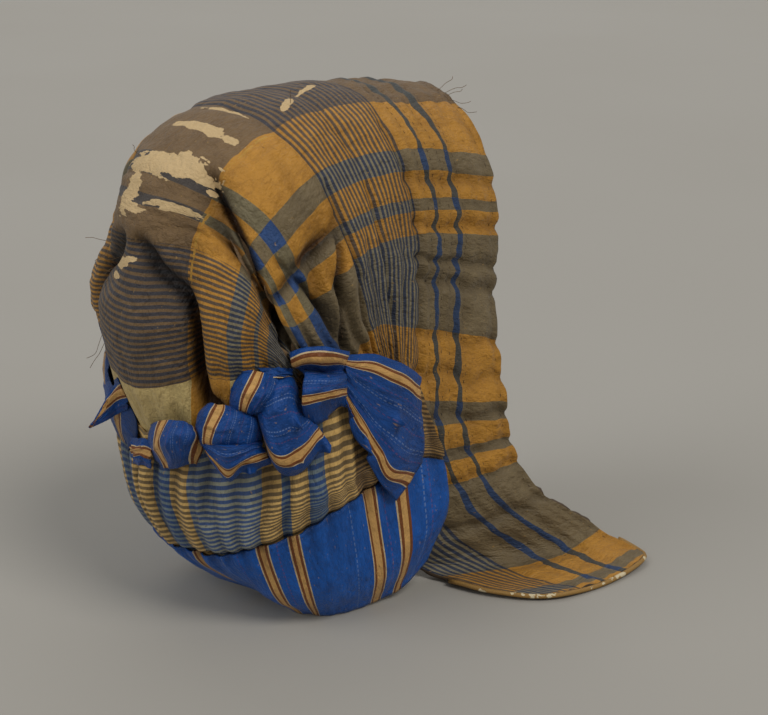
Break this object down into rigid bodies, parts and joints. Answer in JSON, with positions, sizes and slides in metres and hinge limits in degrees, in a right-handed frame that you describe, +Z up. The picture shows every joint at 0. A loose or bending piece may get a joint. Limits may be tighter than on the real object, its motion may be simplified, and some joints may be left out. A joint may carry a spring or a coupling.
{
  "type": "quilted hood",
  "caption": "Quilted plaid silk winter hood with a gathered crown, neck curtain, long lappets and puffed ribbon trim.",
  "frame": {"origin": "middle of the hood's outline on the floor plane that it stands on", "axes": "+Z up, the face opening looks along -Y, the wearer's right side is -X"},
  "size_m": [0.3158, 0.376, 0.3518],
  "materials": {
    "plaid_silk": "worn plaid silk, soft sheen, hand quilted over wadding",
    "striped_silk": "worn striped silk, soft sheen",
    "blue_ribbon": "ribbed silk ribbon with woven gold stripes, satin sheen",
    "gold_piping": "worn silk piping, rubbed pale at the high points"
  },
  "bodies": {
    "root": {"hood_shell": "plaid_silk", "bavolet": "striped_silk", "bavolet_border": "blue_ribbon", "ribbon_knot_right": "blue_ribbon", "ribbon_puff_ear_right": "blue_ribbon", "ribbon_fold_right": "blue_ribbon", "ribbon_puff_side_right": "blue_ribbon", "ribbon_puff_back_right": "blue_ribbon", "ribbon_fan_right": "blue_ribbon", "ribbon_knot_left": "blue_ribbon", "ribbon_puff_ear_left": "blue_ribbon", "ribbon_fold_left": "blue_ribbon", "ribbon_puff_side_left": "blue_ribbon", "ribbon_puff_back_left": "blue_ribbon", "ribbon_fan_left": "blue_ribbon", "ribbon_band_back": "blue_ribbon", "ribbon_tail_left": "blue_ribbon", "lappet_piping_right": "gold_piping", "lappet_piping_left": "gold_piping"}
  },
  "joints": []
}
